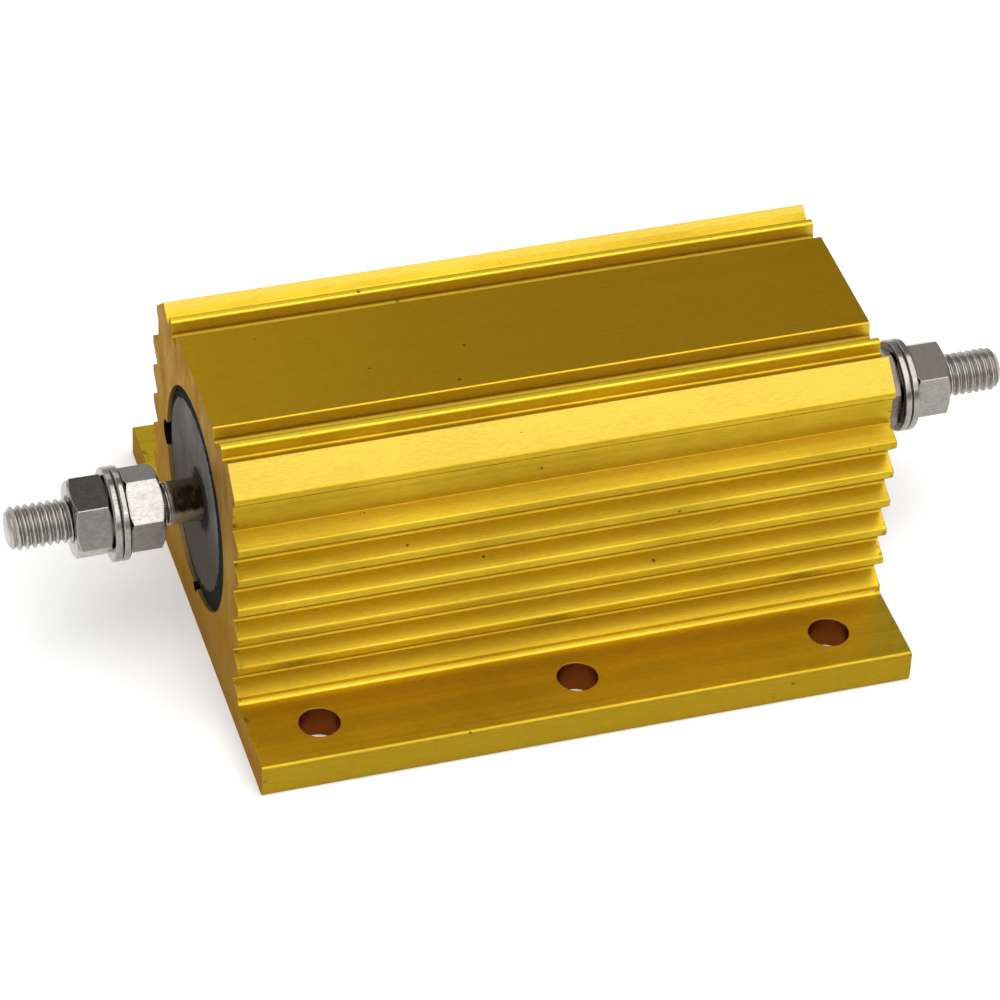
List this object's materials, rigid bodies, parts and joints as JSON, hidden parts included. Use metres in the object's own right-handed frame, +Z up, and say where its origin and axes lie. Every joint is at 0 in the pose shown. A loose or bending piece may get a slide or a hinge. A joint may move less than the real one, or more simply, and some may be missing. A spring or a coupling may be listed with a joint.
{
  "type": "wirewound power resistor",
  "caption": "Aluminium-housed wirewound power resistor: finned, gold-anodised extrusion with drilled mounting flanges, cement end seals and threaded terminal studs with nuts and washers",
  "frame": {"origin": "on the base plane, below the bore's axis and midway between the tips of the two terminal studs", "axes": "+X along the terminal studs and the housing's length, +Y across the two mounting flanges, +Z up from the base to the flat top"},
  "size_m": [0.1376, 0.0706, 0.0408],
  "materials": {
    "housing": "gold anodised extrusion, fine lengthwise die lines, duller sawn ends",
    "core": "fired alumina, matt",
    "winding": "resistance alloy wire",
    "cap": "pressed steel",
    "filler": "mineral moulding compound, matt",
    "disc": "pressed fibre",
    "seal": "grey cement, matt, with brown heat stains round the stud",
    "stud": "turned stainless steel, stained brown near the housing",
    "nut": "stainless steel, fine machining lines",
    "washer": "stamped stainless steel, rounded rims"
  },
  "bodies": {
    "root": {"housing": "housing", "ceramic_core": "core", "resistance_winding": "winding", "end_cap_left": "cap", "end_cap_right": "cap", "filler": "filler", "centring_disc_left": "disc", "centring_disc_right": "disc", "end_seal_left": "seal", "end_seal_right": "seal", "terminal_stud_left": "stud", "terminal_stud_right": "stud", "inner_nut_left": "nut", "inner_nut_right": "nut", "inner_washer_left": "washer", "inner_washer_right": "washer", "outer_washer_left": "washer", "outer_washer_right": "washer", "outer_nut_left": "nut", "outer_nut_right": "nut"}
  },
  "joints": []
}
